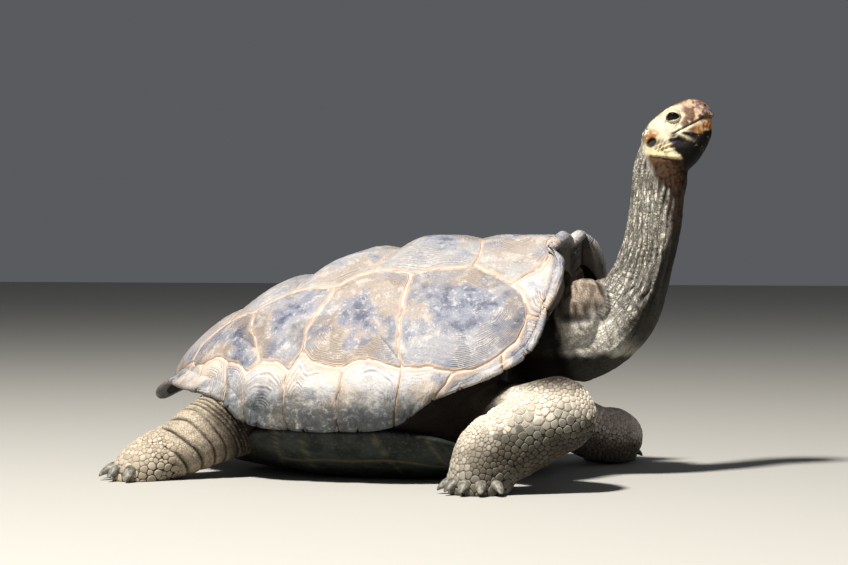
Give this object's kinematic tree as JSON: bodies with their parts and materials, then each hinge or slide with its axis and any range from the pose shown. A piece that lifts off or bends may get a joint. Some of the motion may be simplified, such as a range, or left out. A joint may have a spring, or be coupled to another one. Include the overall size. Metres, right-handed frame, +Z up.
{
  "type": "giant tortoise, life-size still model",
  "caption": "Giant tortoise lying on its belly with a high domed shell, long neck stretched up, head raised, one foreleg folded and the hind legs stretched back",
  "frame": {"origin": "centre of the bounding box's footprint, on the floor under the belly", "axes": "+X toward the head, +Y to the animal's left, +Z up"},
  "size_m": [1.3328, 1.0302, 0.8356],
  "materials": {
    "shell_scutes": "weathered horn scutes, grey and brown with pale seams, slightly worn smooth",
    "belly_plate": "dull dark horn, scuffed",
    "skin": "dry wrinkled and scaly skin, matt",
    "claws": "worn grey horn",
    "eyes": "wet, dark and glossy"
  },
  "bodies": {
    "root": {"carapace": "shell_scutes", "plastron": "belly_plate", "trunk": "skin", "neck_base": "skin", "neck_middle": "skin", "neck_top": "skin", "head": "skin", "lower_jaw": "skin", "eye_right": "eyes", "eye_left": "eyes", "tail": "skin", "fore_right_upper": "skin", "fore_right_forearm": "skin", "fore_right_foot": "skin", "fore_right_claw_1": "claws", "fore_right_claw_2": "claws", "fore_right_claw_3": "claws", "fore_right_claw_4": "claws", "fore_right_claw_5": "claws", "fore_left_upper": "skin", "fore_left_forearm": "skin", "fore_left_foot": "skin", "fore_left_claw_1": "claws", "fore_left_claw_2": "claws", "fore_left_claw_3": "claws", "fore_left_claw_4": "claws", "fore_left_claw_5": "claws", "hind_right_thigh": "skin", "hind_right_shank": "skin", "hind_right_foot": "skin", "hind_right_claw_1": "claws", "hind_right_claw_2": "claws", "hind_right_claw_3": "claws", "hind_right_claw_4": "claws", "hind_left_thigh": "skin", "hind_left_shank": "skin", "hind_left_foot": "skin", "hind_left_claw_1": "claws", "hind_left_claw_2": "claws", "hind_left_claw_3": "claws", "hind_left_claw_4": "claws"}
  },
  "joints": []
}
